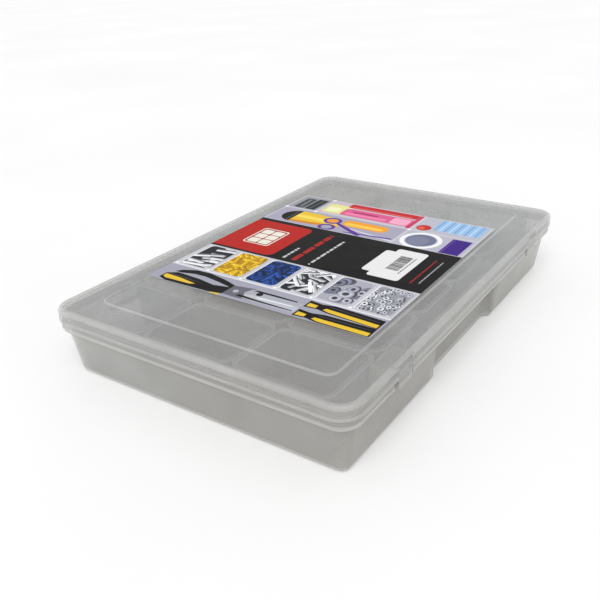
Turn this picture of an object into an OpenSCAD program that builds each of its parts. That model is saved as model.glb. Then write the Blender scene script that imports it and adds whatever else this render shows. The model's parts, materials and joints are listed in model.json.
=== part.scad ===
// Low organiser box: a base full of lift-out tray cups, a hinged lid and two front latch clips.
// Origin: centre of the box on the surface it stands on. X runs along the long side,
// the front with the finger recess faces -Y, the hinges are at +Y and Z is up. Millimetres.

/* [Box] */
// Length of the closed box along X
box_l = 275; // [265:1:285]
// Width of the closed box along Y
box_w = 187; // [183:1:191]
// Height of the lid's outer margin above the table
lid_h = 40.2; // [39.6:0.1:41]
// Plan radius of the lid's corners
corner_r = 12; // [11.8:0.1:12.4]
// Thickness of the base and lid walls
wall = 1.4; // [1.2:0.1:1.5]
// Thickness of the base floor
floor_t = 1.6; // [1.2:0.1:2]

/* [Base] */
// Height of the top of the flange that the lid closes onto
flange_z = 32.2; // [31.8:0.1:32.4]
// How far the foot of the wall stands in from the lid's edge
foot_inset = 7.3; // [6.8:0.1:7.6]
// Height of the upstand that reaches up inside the lid
upstand_z = 37.6; // [36:0.1:37.8]

/* [Trays] */
// Columns of tray cups along X
tray_cols = 6; // [4:1:6]
// Length of the tray field along X
field_l = 264; // [258:1:264]
// Front edge of the tray field
field_front = -80; // [-80:1:-76]
// Back edge of the tray field
field_back = 88; // [86:1:88]
// Height of the tray rims
tray_z = 38.2; // [36:0.1:38.4]
// Width of the flat rim round each tray
rim_w = 2.6; // [2:0.1:3]
// Thickness of the tray walls
tray_wall = 1; // [0.8:0.1:1.2]

/* [Lid] */
// Height of the raised label panel above the lid's margin
panel_rise = 0.6; // [0.4:0.1:0.8]
// Length of the raised panel
panel_l = 239; // [230:1:240]
// Width of the raised panel
panel_w = 148; // [148:1:150]

/* [Stickers] */
// Length of the label sticker along X
label_l = 164; // [150:1:170]
// Width of the label sticker along Y
label_w = 146; // [140:1:147]
// Thickness of each sticker
sticker_t = 0.15; // [0.1:0.05:0.2]

/* [Hinges and latches] */
// Distance of each hinge from the middle
hinge_x = 80; // [60:1:95]
// Radius of the hinge pins
hinge_pin_r = 1; // [0.9:0.05:1.05]
// Distance of each latch from the middle
latch_x = 88.5; // [70:0.5:92]
// Half the width of a latch clip
clip_half = 6.5; // [6:0.1:6.6]
// Running clearance round every pivot, on the radius
pivot_gap = 0.05; // [0.03:0.01:0.08]

/* [Hidden] */
$fn = 64;
eps = 0.01;
gap = 0.3;

// All the walls follow one rounded rectangle. These are its corner centres, and a
// profile point [r, z] stands r outside the rectangle that joins them.
corner_x = box_l / 2 - corner_r;
corner_y = box_w / 2 - corner_r;

foot_r = corner_r - foot_inset;
foot_fillet = 2.6;
neck_r = 7.96;
neck_z = 25;
flange_r = 11;
flange_fillet = 3;
upstand_r = 8.2;

recess_half = 41;
recess_y = -81.6;
recess_top = 27.4;
recess_inner_r = 4.5;
recess_outer_r = 5.5;
recess_step = 2.1;

pocket_half = 9;
pocket_z = 24;
catch_y = -87.6;
catch_z = 29.6;
catch_t = 1.4;

skirt_gap = 0.3;
skirt_z = flange_z + skirt_gap;
skirt_r = corner_r - 0.3;
lid_fillet = 2.5;
panel_corner = 7;

hinge_y = box_w / 2 - 2.1;
hinge_z = 22;
knuckle_r = 2.1;
lid_knuckle = 16;
base_knuckle = 10;
pin_bite = 0.02;

clip_pivot_y = -91.3;
clip_pivot_z = 36.4;
clip_barrel_r = 1.6;
clip_t = 1.5;
stub_r = 0.8;
stub_l = 1.5;
cheek_t = 1.9;

col_pitch = field_l / tray_cols;
row_pitch = (field_back - field_front) / 3;
tray_slack = 0.4;
tray_corner = 7;
tray_draft = 2.3;
tray_fillet = 3;
tray_core = 0.05;
double_col = 3;
ROWS = ["front", "middle", "back"];

// Trays as [row, first column, columns covered]; one tray in the back row is two columns wide.
TRAYS = [
    for (row = [0 : 2], col = [1 : tray_cols])
        if (!(row == 2 && col == double_col + 1))
            [row, col, row == 2 && col == double_col ? 2 : 1]
];
function tray_name(tray) = str("tray_", ROWS[tray[0]], "_", tray[1]);

plastic = [0.66, 0.66, 0.65, 0.55];
clear_plastic = [0.72, 0.72, 0.74, 0.45];

// Points of an arc about c from angle a0 to a1 in n steps
function arc(c, r, a0, a1, n = 6) =
    [for (i = [0 : n]) let (a = a0 + (a1 - a0) * i / n) c + r * [cos(a), sin(a)]];

function reversed(list) = [for (i = [len(list) - 1 : -1 : 0]) list[i]];

// Cross-section of a block: the profile at distance half from the middle, and its mirror image
function section(profile, half) = concat(
    [for (p = profile) [half + p[0], p[1]]],
    [for (p = reversed(profile)) [-half - p[0], p[1]]]
);

// Solid block whose side follows a profile of [r, z] points round a rounded rectangle
module profile_block(profile, half_x, half_y) {
    low = profile[0][1];
    high = profile[len(profile) - 1][1];
    for (sx = [-1, 1], sy = [-1, 1])
        translate([sx * half_x, sy * half_y, 0])
            rotate_extrude() polygon(concat([[0, low]], profile, [[0, high]]));
    rotate([90, 0, 90]) translate([0, 0, -half_x])
        linear_extrude(2 * half_x) polygon(section(profile, half_y));
    rotate([90, 0, 0]) translate([0, 0, -half_y])
        linear_extrude(2 * half_y) polygon(section(profile, half_x));
}

module x_rod(x0, x1, y, z, r) {
    translate([x0, y, z]) rotate([0, 90, 0]) cylinder(h = x1 - x0, r = r);
}

module x_prism(x0, x1, points) {
    translate([x0, 0, 0]) rotate([90, 0, 90]) linear_extrude(x1 - x0) polygon(points);
}

module box(low, high) {
    translate(low) cube(high - low);
}

// ---- Base ----

base_outside = concat(
    arc([foot_r - foot_fillet, foot_fillet], foot_fillet, -90, 0),
    [[neck_r, neck_z]],
    arc([upstand_r, neck_z + 1 + flange_fillet], flange_fillet, -90, 0),
    [[flange_r + 0.2, neck_z + 1.4 + flange_fillet], [flange_r, flange_z - 0.3],
     [flange_r - 0.3, flange_z], [upstand_r, flange_z],
     [upstand_r, upstand_z - 0.4], [upstand_r - 0.4, upstand_z]]
);
base_inside = concat(
    arc([foot_r - wall - 1.6, floor_t + 1.6], 1.6, -90, 0),
    [[neck_r - wall, neck_z], [upstand_r - wall, neck_z + 2], [upstand_r - wall, upstand_z + 1]]
);

// Plan of the finger recess, with S-shaped ends; grow moves its wall into the box
module recess_plan(grow) {
    inner_x = recess_half - recess_inner_r;
    inner_y = recess_y - recess_inner_r;
    outer_y = inner_y + recess_step;
    reach = recess_inner_r + recess_outer_r;
    outer_x = inner_x + sqrt(reach * reach - recess_step * recess_step);
    front = -box_w / 2 - 5;
    difference() {
        union() {
            translate([-inner_x, front]) square([2 * inner_x, recess_y + grow - front]);
            for (s = [-1, 1]) translate([s * inner_x, inner_y]) circle(recess_inner_r + grow);
            polygon([[-outer_x, front], [-outer_x, outer_y], [-inner_x, inner_y],
                     [inner_x, inner_y], [outer_x, outer_y], [outer_x, front]]);
        }
        for (s = [-1, 1]) translate([s * outer_x, outer_y]) circle(recess_outer_r - grow);
    }
}

module pocket_space(x, grow) {
    half = pocket_half + grow;
    box([x - half, -box_w / 2 - 2, pocket_z - grow], [x + half, recess_y + grow, lid_h]);
}

module base_knuckles(x) {
    for (s = [-1, 1]) {
        mid = x + s * (lid_knuckle / 2 + gap + base_knuckle / 2);
        x_rod(mid - base_knuckle / 2, mid + base_knuckle / 2, hinge_y, hinge_z, knuckle_r);
        box([mid - base_knuckle / 2, corner_y + foot_r + 1.6, hinge_z - knuckle_r],
            [mid + base_knuckle / 2, hinge_y, hinge_z + knuckle_r]);
    }
}

module base() {
    hinge_half = lid_knuckle / 2 + gap + base_knuckle + 1;
    color(plastic)
    difference() {
        union() {
            difference() {
                profile_block(base_outside, corner_x, corner_y);
                difference() {
                    profile_block(base_inside, corner_x, corner_y);
                    translate([0, 0, -1]) linear_extrude(recess_top + wall + 1) recess_plan(wall);
                    for (s = [-1, 1]) pocket_space(s * latch_x, wall);
                }
                translate([0, 0, -1]) linear_extrude(recess_top + 1) recess_plan(0);
                for (s = [-1, 1]) pocket_space(s * latch_x, 0);
                for (s = [-1, 1])
                    box([s * hinge_x - lid_knuckle / 2 - gap, corner_y + upstand_r + 0.6, neck_z],
                        [s * hinge_x + lid_knuckle / 2 + gap, box_w / 2 + 1, flange_z + 1]);
            }
            for (s = [-1, 1]) {
                base_knuckles(s * hinge_x);
                box([s * latch_x - pocket_half - 0.2, catch_y, catch_z],
                    [s * latch_x + pocket_half + 0.2, recess_y + 0.2, catch_z + catch_t]);
            }
        }
        for (s = [-1, 1])
            x_rod(s * hinge_x - hinge_half, s * hinge_x + hinge_half, hinge_y, hinge_z,
                  hinge_pin_r - pin_bite);
    }
}

module hinge_pin(x) {
    half = lid_knuckle / 2 + gap + base_knuckle - gap;
    color("silver") x_rod(x - half, x + half, hinge_y, hinge_z, hinge_pin_r);
}

// ---- Trays ----

// A cup with a flat rim, its middle at the origin in plan
module tray(tray) {
    span = tray[2];
    half_x = (col_pitch * span - tray_slack) / 2;
    half_y = (row_pitch - tray_slack) / 2;
    mid_x = (tray[1] - 1 + span / 2) * col_pitch - field_l / 2;
    mid_y = field_front + (tray[0] + 0.5) * row_pitch;
    low = floor_t;
    rim_under = tray_z - 1.2;
    body_top = tray_corner - rim_w + tray_wall;
    body_low = body_top - tray_draft;
    // A wide rim or a thin wall leaves less corner for the fillet at the foot
    fillet = min(tray_fillet, body_low - tray_core);
    outside = concat(
        arc([body_low - fillet, low + fillet], fillet, -90, 0),
        [[body_top, rim_under], [tray_corner, rim_under], [tray_corner, tray_z - 0.5],
         [tray_corner - 0.5, tray_z]]
    );
    inside = concat(
        arc([body_low - fillet, low + fillet], fillet - tray_wall, -90, 0),
        [[body_top - tray_wall, rim_under], [body_top - tray_wall, tray_z - 0.8],
         [body_top - tray_wall + 0.8, tray_z + eps]]
    );
    color(clear_plastic) translate([mid_x, mid_y, 0]) difference() {
        profile_block(outside, half_x - tray_corner, half_y - tray_corner);
        profile_block(inside, half_x - tray_corner, half_y - tray_corner);
    }
}

// ---- Lid ----

lid_outside = concat(
    [[corner_r - 0.3, skirt_z], [corner_r, skirt_z + 0.3], [corner_r, skirt_z + 1.3],
     [skirt_r, skirt_z + 1.7]],
    arc([skirt_r - lid_fillet, lid_h - lid_fillet], lid_fillet, 0, 90)
);
lid_inside = concat(
    [[skirt_r - wall, skirt_z - 1]],
    arc([skirt_r - lid_fillet, lid_h - lid_fillet], lid_fillet - wall, 0, 90, 3)
);
panel_outside = [[panel_corner + 0.2, lid_h - 0.3], [panel_corner, lid_h],
                 [panel_corner - 0.7, lid_h + panel_rise]];
panel_inside = [[panel_corner - 1.4, lid_h - wall - eps], [panel_corner - 2.1, lid_h + panel_rise - wall]];

module latch_cheeks(x) {
    notch_half = clip_half + gap;
    for (s = [-1, 1]) {
        a = x + s * notch_half;
        b = x + s * (notch_half + cheek_t);
        box([min(a, b), clip_pivot_y - 1.7, clip_pivot_z - 2], [max(a, b), clip_pivot_y + 2, lid_h - 1]);
    }
}

module lid_knuckle(x) {
    half = lid_knuckle / 2;
    x_rod(x - half, x + half, hinge_y, hinge_z, knuckle_r);
    box([x - half, box_w / 2 - 1.6, hinge_z], [x + half, box_w / 2, skirt_z + 1]);
}

module lid() {
    panel_x = panel_l / 2 - panel_corner;
    panel_y = panel_w / 2 - panel_corner;
    notch_half = clip_half + gap;
    color(plastic)
    difference() {
        union() {
            difference() {
                union() {
                    profile_block(lid_outside, corner_x, corner_y);
                    profile_block(panel_outside, panel_x, panel_y);
                }
                profile_block(lid_inside, corner_x, corner_y);
                profile_block(panel_inside, panel_x, panel_y);
                for (s = [-1, 1])
                    box([s * latch_x - notch_half, -box_w / 2 - 1, skirt_z - 1],
                        [s * latch_x + notch_half, clip_pivot_y + 3, lid_h - wall]);
            }
            for (s = [-1, 1]) {
                latch_cheeks(s * latch_x);
                lid_knuckle(s * hinge_x);
            }
        }
        for (s = [-1, 1]) {
            x_rod(s * latch_x - notch_half - cheek_t - 1, s * latch_x + notch_half + cheek_t + 1,
                  clip_pivot_y, clip_pivot_z, stub_r + pivot_gap);
            x_rod(s * hinge_x - lid_knuckle, s * hinge_x + lid_knuckle, hinge_y, hinge_z,
                  hinge_pin_r + pivot_gap);
        }
    }
}

// ---- Latch clips ----

// A clip turns on two stub pins; its hook lies under the catch bar of the base
module latch(x) {
    face_y = clip_pivot_y - 2;
    back_y = face_y + clip_t;
    foot_z = 26.6;
    hook_y = catch_y - gap;
    color(plastic) union() {
        x_rod(x - clip_half, x + clip_half, clip_pivot_y, clip_pivot_z, clip_barrel_r);
        x_rod(x - clip_half - stub_l, x + clip_half + stub_l, clip_pivot_y, clip_pivot_z, stub_r);
        x_prism(x - clip_half, x + clip_half, [
            [face_y, clip_pivot_z], [face_y, foot_z + 2], [face_y - 0.2, foot_z + 1.2],
            [face_y - 0.2, foot_z], [back_y, foot_z], [hook_y, foot_z + 1.2],
            [hook_y, foot_z + 2.2], [back_y, foot_z + 2.6], [back_y, clip_pivot_z]
        ]);
    }
}

// ---- Stickers ----

label_z = lid_h + panel_rise;
label_mid_y = 2;
barcode_mid = [1, -43];

module label_sticker() {
    color([0.12, 0.12, 0.13]) translate([-label_l / 2, label_mid_y - label_w / 2, label_z])
        cube([label_l, label_w, sticker_t]);
}

module rounded_plate(size, r, t) {
    translate([-size[0] / 2 + r, -size[1] / 2, 0]) cube([size[0] - 2 * r, size[1], t]);
    translate([-size[0] / 2, -size[1] / 2 + r, 0]) cube([size[0], size[1] - 2 * r, t]);
    for (sx = [-1, 1], sy = [-1, 1])
        translate([sx * (size[0] / 2 - r), sy * (size[1] / 2 - r), 0]) cylinder(h = t, r = r);
}

module barcode_sticker() {
    color("white") translate([barcode_mid[0], barcode_mid[1], label_z + sticker_t]) {
        rounded_plate([42, 20], 2, sticker_t);
        translate([0, 9, 0]) rounded_plate([32, 14], 2, sticker_t);
    }
}

base();
lid();
label_sticker();
barcode_sticker();
hinge_pin(-hinge_x);  // hinge_pin_left
hinge_pin(hinge_x);  // hinge_pin_right
latch(-latch_x);  // latch_left
latch(latch_x);  // latch_right
for (tray = TRAYS)
    tray(tray);
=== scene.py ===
"""Looks for a low frosted organiser box with lift-out tray cups, a hinged lid and a printed label."""

import json
import math
import random

import bmesh
import bpy
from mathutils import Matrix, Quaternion, Vector
from mathutils.geometry import delaunay_2d_cdt


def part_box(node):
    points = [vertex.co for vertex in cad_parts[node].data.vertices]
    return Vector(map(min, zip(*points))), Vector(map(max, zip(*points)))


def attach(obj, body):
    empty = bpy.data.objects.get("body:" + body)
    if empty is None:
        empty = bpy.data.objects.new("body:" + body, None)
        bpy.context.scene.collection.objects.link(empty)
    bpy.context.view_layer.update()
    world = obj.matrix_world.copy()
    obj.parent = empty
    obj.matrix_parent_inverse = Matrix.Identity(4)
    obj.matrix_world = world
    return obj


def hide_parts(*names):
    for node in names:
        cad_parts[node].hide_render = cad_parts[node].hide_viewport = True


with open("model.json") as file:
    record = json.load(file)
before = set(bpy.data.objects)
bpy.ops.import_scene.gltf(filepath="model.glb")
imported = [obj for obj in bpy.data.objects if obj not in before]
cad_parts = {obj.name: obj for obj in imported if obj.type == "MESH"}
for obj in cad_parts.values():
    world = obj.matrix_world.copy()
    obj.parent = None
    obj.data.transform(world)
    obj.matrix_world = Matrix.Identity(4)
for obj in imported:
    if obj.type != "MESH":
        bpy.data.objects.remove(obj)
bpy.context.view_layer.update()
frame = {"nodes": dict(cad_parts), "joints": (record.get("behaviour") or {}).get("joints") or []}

MM = 0.001


def box_mm(node):
    """Lowest and highest corner of a CAD node, in millimetres."""
    low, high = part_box(node)
    return low / MM, high / MM


LID_HIGH = box_mm("lid")[1]
BASE_HIGH = box_mm("base")[1]
LABEL_LOW, LABEL_HIGH = box_mm("label_sticker")
BARCODE_LOW, BARCODE_HIGH = box_mm("barcode_sticker")
TRAYS = sorted(name for name in frame["nodes"] if name.startswith("tray_"))
LATCHES = {"latch_left": -1, "latch_right": 1}
JOINTS = {joint["name"]: joint for joint in frame["joints"]}
HINGE = Vector(JOINTS["lid_hinge"]["pos_m"]) / MM
CLIP_PIVOT = Vector(JOINTS["latch_right_pivot"]["pos_m"]) / MM
LATCH_X = CLIP_PIVOT.x
PIN_LOW, PIN_HIGH = box_mm("hinge_pin_right")
HINGE_X = (PIN_LOW.x + PIN_HIGH.x) / 2

# Driving sizes of the shells, in millimetres
CORNER = 12.0  # the lid's corners in plan; every shell ring shares their centres
WALL = 1.4
PANEL_RISE = 0.6  # how far the label's panel stands up
LID_TOP = LID_HIGH.z - PANEL_RISE
CORNER_X = LID_HIGH.x - CORNER
CORNER_Y = LID_HIGH.y - CORNER
FLANGE_TOP = 32.2
SKIRT_FOOT = FLANGE_TOP + 0.3
SKIRT = CORNER - 0.3
UPSTAND_TOP = BASE_HIGH.z
SEAT = 0.05  # gap kept under the trays
LABEL_GAP = 0.02
BARCODE_GAP = 0.01
FLOOR = box_mm(TRAYS[0])[0].z - SEAT
PANEL_HALF = (119.5, 74.0)
PANEL_CORNER = 7.0
KNUCKLE_R = 2.1
KNUCKLE_HALF = 8.0  # half the length of a lid knuckle
BASE_KNUCKLE_HALF = 5.0
KNUCKLE_GAP = 0.3
LID_BORE = 1.05  # turns on the hinge pin
BASE_BORE = 0.98  # holds the hinge pin
STUB_R = 0.8
STUB_BORE = 0.85
POCKET_HALF = 9.0  # the base's pocket behind a clip
POCKET_FLOOR = 24
RECESS_Y = -81.6
RECESS_TOP = 27.4
RECESS_HALF = 41.0
RECESS_HOLLOW_R = 4.5
RECESS_CROWN_R = 5.5
RECESS_STEP = 2.1
EDGE_WIDTH = 1.1  # bands of a profile narrower than this are rims and fillets
CUT_SPARE = 1  # how far a cutting tool reaches past the surface it cuts
ROUND_SIDES = 40
MERGE = 1e-4
SHARP_ANGLE = math.radians(35)

# ---------------------------------------------------------------- mesh helpers


def arc(cx, cy, radius, start, stop, steps):
    """Points on an arc, with the angles in degrees."""
    points = []
    for i in range(steps + 1):
        a = math.radians(start + (stop - start) * i / steps)
        points.append((cx + radius * math.cos(a), cy + radius * math.sin(a)))
    return points


def circle(cx, cy, radius, sides):
    """Points round a whole circle, the first not repeated."""
    return arc(cx, cy, radius, 0, 360 - 360 / sides, sides - 1)


def ring_points(half_x, half_y, radius, steps, front_x=()):
    """A rounded rectangle given by its corner centres, with extra stations along the front side."""
    points = []
    for turn, (sx, sy) in enumerate(((1, 1), (-1, 1), (-1, -1), (1, -1))):
        points += arc(sx * half_x, sy * half_y, radius, 90 * turn, 90 * turn + 90, steps)
        if turn == 2:
            points += [(max(-half_x, min(half_x, x)), -half_y - radius) for x in front_x]
    return points


def loft(rings, steps=10, front_x=(), pull=None):
    """Closed skin over rings of (half_x, half_y, radius, z, grow), from first cap to last cap.
    pull(x, y, grow) moves a point of the front side, and grow None leaves its ring alone."""
    bm = bmesh.new()
    rows = []
    for half_x, half_y, radius, z, grow in rings:
        row = []
        for x, y in ring_points(half_x, half_y, radius, steps, front_x):
            if pull and grow is not None:
                y = pull(x, y, grow)
            row.append(bm.verts.new((x, y, z)))
        rows.append(row)
    count = len(rows[0])
    edge = bm.faces.layers.float.new("edge")
    for lower, upper in zip(rows, rows[1:]):
        # Narrow bands are rims and fillets: the edge attribute marks them for a painted highlight and extra
        # opacity
        narrow = (lower[0].co - upper[0].co).length < EDGE_WIDTH
        for i in range(count):
            j = (i + 1) % count
            face = bm.faces.new((lower[i], lower[j], upper[j], upper[i]))
            face[edge] = 1.0 if narrow else 0.0
    bm.faces.new(rows[0])
    bm.faces.new(reversed(rows[-1]))
    tidy(bm)
    return bm


def tidy(bm):
    """Merges doubled points and turns every face outwards."""
    bmesh.ops.remove_doubles(bm, verts=bm.verts, dist=MERGE)
    bmesh.ops.dissolve_degenerate(bm, edges=bm.edges, dist=MERGE)
    bmesh.ops.recalc_face_normals(bm, faces=bm.faces)


def add_box(bm, low, high):
    """A closed box between two corners."""
    made = bmesh.ops.create_cube(bm, size=1.0)["verts"]
    low, high = Vector(low), Vector(high)
    for v in made:
        v.co = (low + high) / 2 + Vector(a * b for a, b in zip(v.co, high - low))


def add_prism(bm, x0, x1, outline):
    """A closed prism along X over an outline of (y, z) points."""
    rows = [[bm.verts.new((x, y, z)) for y, z in outline] for x in (x0, x1)]
    count = len(outline)
    for i in range(count):
        j = (i + 1) % count
        bm.faces.new((rows[0][i], rows[0][j], rows[1][j], rows[1][i]))
    bm.faces.new(rows[0])
    bm.faces.new(reversed(rows[1]))


def solid(name, *makers):
    """An object in millimetres from one or more calls that add closed shapes to a bmesh."""
    bm = bmesh.new()
    for maker in makers:
        maker(bm)
    bmesh.ops.recalc_face_normals(bm, faces=bm.faces)
    return from_bmesh(name, bm)


def from_bmesh(name, bm):
    """An object in the scene with the bmesh as its mesh."""
    mesh = bpy.data.meshes.new(name)
    bm.to_mesh(mesh)
    bm.free()
    obj = bpy.data.objects.new(name, mesh)
    bpy.context.scene.collection.objects.link(obj)
    return obj


def drop(obj):
    """Removes an object and a mesh that nothing else uses."""
    mesh = obj.data
    bpy.data.objects.remove(obj)
    if mesh.users == 0:
        bpy.data.meshes.remove(mesh)


def bake_modifiers(obj):
    """Replaces the object's mesh with what its modifiers make of it."""
    graph = bpy.context.evaluated_depsgraph_get()
    mesh = bpy.data.meshes.new_from_object(obj.evaluated_get(graph))
    obj.modifiers.clear()
    old = obj.data
    obj.data = mesh
    mesh.name = obj.name
    if old.users == 0 and isinstance(old, bpy.types.Mesh):
        bpy.data.meshes.remove(old)


def combine(obj, operation, *makers):
    """Joins closed shapes onto the object, or cuts them from it, one after another."""
    for maker in makers:
        combine_tool(obj, operation, solid("tool", maker))


def combine_tool(obj, operation, tool):
    """Joins or cuts with one finished object, and removes it."""
    step = obj.modifiers.new("step", "BOOLEAN")
    step.operation = operation
    step.solver = "EXACT"
    step.object = tool
    bake_modifiers(obj)
    drop(tool)


def prism(x0, x1, outline):
    """A call for solid and combine that adds a prism along X."""
    return lambda bm: add_prism(bm, x0, x1, outline)


def rod(x0, x1, y, z, radius):
    """The same for a round rod along X."""
    return prism(x0, x1, circle(y, z, radius, ROUND_SIDES))


def block(low, high):
    """The same for a box."""
    return lambda bm: add_box(bm, low, high)


def finish_piece(obj, body, material, node, bevel=0.0):
    """Scales a millimetre object to metres, shades it and hands it to the frame."""
    for v in obj.data.vertices:
        v.co *= MM
    if bevel:
        edge = obj.modifiers.new("soft_edges", "BEVEL")
        edge.width = bevel * MM
        edge.segments = 2
        edge.limit_method = "ANGLE"
        edge.angle_limit = SHARP_ANGLE
        edge.harden_normals = False
        bake_modifiers(obj)
    for face in obj.data.polygons:
        face.use_smooth = True
    obj.data.set_sharp_from_angle(angle=SHARP_ANGLE)
    weighted = obj.modifiers.new("weighted_normals", "WEIGHTED_NORMAL")
    weighted.keep_sharp = True
    weighted.weight = 80
    obj.data.materials.clear()
    obj.data.materials.append(material)
    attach(obj, body)
    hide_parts(node)


# ---------------------------------------------------------------- node helpers


def srgb(r, g, b):
    """A colour given as 0 to 255, in the linear values that the shader takes."""

    def linear(v):
        v /= 255
        return v / 12.92 if v <= 0.04045 else ((v + 0.055) / 1.055) ** 2.4

    return (linear(r), linear(g), linear(b), 1.0)


class Nodes:
    """Short calls for building a node tree from left to right."""

    def __init__(self, tree):
        self.tree = tree
        self.x = 0

    def add(self, kind, values=None, **settings):
        """A new node with its inputs fed from values, by name or number, and its settings made."""
        node = self.tree.nodes.new(kind)
        self.x += 180
        node.location = (self.x, 0)
        for key, value in settings.items():
            setattr(node, key, value)
        self.fill(node, values or {})
        return node

    def fill(self, node, values):
        for key, value in values.items():
            self.feed(value, node.inputs[key])

    def feed(self, value, socket):
        """Links a socket to another, or sets its plain value."""
        if isinstance(value, bpy.types.NodeSocket):
            self.tree.links.new(value, socket)
        else:
            socket.default_value = value

    def maths(self, operation, a, b=0.0, clamp=False):
        node = self.add("ShaderNodeMath", {0: a, 1: b}, operation=operation, use_clamp=clamp)
        return node.outputs[0]

    def remap(self, value, low, high, new_low, new_high):
        node = self.add(
            "ShaderNodeMapRange",
            {"Value": value, "From Min": low, "From Max": high, "To Min": new_low, "To Max": new_high},
        )
        return node.outputs[0]

    def mix(self, factor, a, b, blend="MIX"):
        node = self.add("ShaderNodeMix", data_type="RGBA", blend_type=blend)
        self.feed(factor, node.inputs[0])
        self.feed(a, node.inputs[6])
        self.feed(b, node.inputs[7])
        return node.outputs[2]

    def noise(self, where, scale, detail=2.0, rough=0.5):
        node = self.add(
            "ShaderNodeTexNoise",
            {"Vector": where, "Scale": scale, "Detail": detail, "Roughness": rough},
        )
        return node.outputs["Fac"]

    def grey(self, value):
        return self.add("ShaderNodeCombineColor", {0: value, 1: value, 2: value}).outputs[0]


def shader_group(name, inputs, outputs):
    """A shader node group with named sockets; returns its nodes, its inputs and its outputs."""
    tree = bpy.data.node_groups.new(name, "ShaderNodeTree")
    for label, kind, value in inputs:
        socket = tree.interface.new_socket(name=label, in_out="INPUT", socket_type=kind)
        if value is not None:
            socket.default_value = value
    for label, kind in outputs:
        tree.interface.new_socket(name=label, in_out="OUTPUT", socket_type=kind)
    nodes = Nodes(tree)
    start = tree.nodes.new("NodeGroupInput")
    end = tree.nodes.new("NodeGroupOutput")
    end.location = (2400, 0)
    return nodes, start.outputs, end.inputs


def moulded_skin_group():
    """Fine spark-eroded grain, slow flow ripples and hairline handling marks of a moulded part."""
    nodes, given, out = shader_group(
        "moulded_skin",
        [
            ("Vector", "NodeSocketVector", None),
            ("Grain size", "NodeSocketFloat", 1500.0),
            ("Grain", "NodeSocketFloat", 0.4),
            ("Ripple", "NodeSocketFloat", 0.5),
            ("Marks", "NodeSocketFloat", 0.5),
        ],
        [("Height", "NodeSocketFloat"), ("Haze", "NodeSocketFloat"), ("Marks", "NodeSocketFloat")],
    )
    where = given["Vector"]
    grain = nodes.noise(where, given["Grain size"], 3.0, 0.6)
    ripple = nodes.noise(where, 22.0, 2.0, 0.45)
    turned = nodes.add(
        "ShaderNodeMapping", {"Vector": where, "Rotation": (0.2, 0.1, 0.7), "Scale": (7.0, 110.0, 60.0)}
    )
    hairs = nodes.noise(turned.outputs[0], 9.0, 4.0, 0.7)
    hair_lines = nodes.remap(hairs, 0.66, 0.72, 0.0, 1.0)
    patches = nodes.remap(nodes.noise(where, 26.0, 2.0), 0.45, 0.65, 0.0, 1.0)
    marks = nodes.maths("MULTIPLY", nodes.maths("MULTIPLY", hair_lines, patches), given["Marks"])
    height = nodes.maths("MULTIPLY", grain, given["Grain"])
    height = nodes.maths("ADD", height, nodes.maths("MULTIPLY", ripple, given["Ripple"]))
    height = nodes.maths("SUBTRACT", height, nodes.maths("MULTIPLY", marks, 0.3))
    nodes.feed(height, out["Height"])
    nodes.feed(nodes.noise(where, 60.0, 5.0, 0.6), out["Haze"])
    nodes.feed(marks, out["Marks"])
    return nodes.tree


def milk_group():
    """Cloudiness of natural polypropylene: slow drifts of density and a faint warm or cool cast."""
    nodes, given, out = shader_group(
        "milkiness",
        [
            ("Vector", "NodeSocketVector", None),
            ("Colour", "NodeSocketColor", (0.5, 0.5, 0.5, 1.0)),
            ("Drift", "NodeSocketFloat", 0.1),
        ],
        [("Colour", "NodeSocketColor"), ("Density", "NodeSocketFloat")],
    )
    where = given["Vector"]
    slow = nodes.noise(where, 13.0, 3.0, 0.55)
    cast = nodes.noise(where, 8.0, 1.0, 0.5)
    light = nodes.remap(slow, 0.3, 0.7, 0.92, 1.07)
    warm, cool = (1.0, 0.985, 0.965, 1.0), (0.97, 0.99, 1.0, 1.0)
    tint = nodes.mix(nodes.remap(cast, 0.35, 0.65, 0.0, 1.0), warm, cool)
    shade = nodes.grey(light)
    colour = nodes.mix(1.0, given["Colour"], tint, "MULTIPLY")
    colour = nodes.mix(1.0, colour, shade, "MULTIPLY")
    nodes.feed(colour, out["Colour"])
    swing = nodes.maths("MULTIPLY", nodes.maths("SUBTRACT", slow, 0.5), given["Drift"])
    nodes.feed(swing, out["Density"])
    return nodes.tree


def edge_highlight_group():
    """Rims and fillets: a mask for a painted highlight there (lighter colour) and for more opacity where the
    plastic is thicker, broken up unevenly by noise.
    """
    nodes, given, out = shader_group(
        "edge_light",
        [("Vector", "NodeSocketVector", None), ("Breakup", "NodeSocketFloat", 0.4)],
        [("Mask", "NodeSocketFloat")],
    )
    edge = nodes.add("ShaderNodeAttribute", attribute_name="edge").outputs["Fac"]
    uneven = nodes.remap(nodes.noise(given["Vector"], 30.0, 2.0, 0.5), 0.35, 0.65, 0.0, 1.0)
    kept = nodes.maths("SUBTRACT", 1.0, nodes.maths("MULTIPLY", uneven, given["Breakup"]))
    nodes.feed(nodes.maths("MULTIPLY", edge, kept), out["Mask"])
    return nodes.tree


SKIN = moulded_skin_group()
MILK = milk_group()
EDGE_HIGHLIGHT = edge_highlight_group()


def new_material(name):
    """A material with its node builder and its Principled shader."""
    material = bpy.data.materials.new(name)
    material.use_nodes = True
    nodes = Nodes(material.node_tree)
    shader = material.node_tree.nodes["Principled BSDF"]
    shader.location = (3000, 0)
    material.node_tree.nodes["Material Output"].location = (3400, 0)
    return material, nodes, shader


def place_group(nodes, tree, values):
    return nodes.add("ShaderNodeGroup", values, node_tree=tree).outputs


def bump_normal(nodes, shader, height, strength, distance):
    bump = nodes.add("ShaderNodeBump", {"Height": height, "Strength": strength, "Distance": distance})
    nodes.feed(bump.outputs[0], shader.inputs["Normal"])


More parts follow.
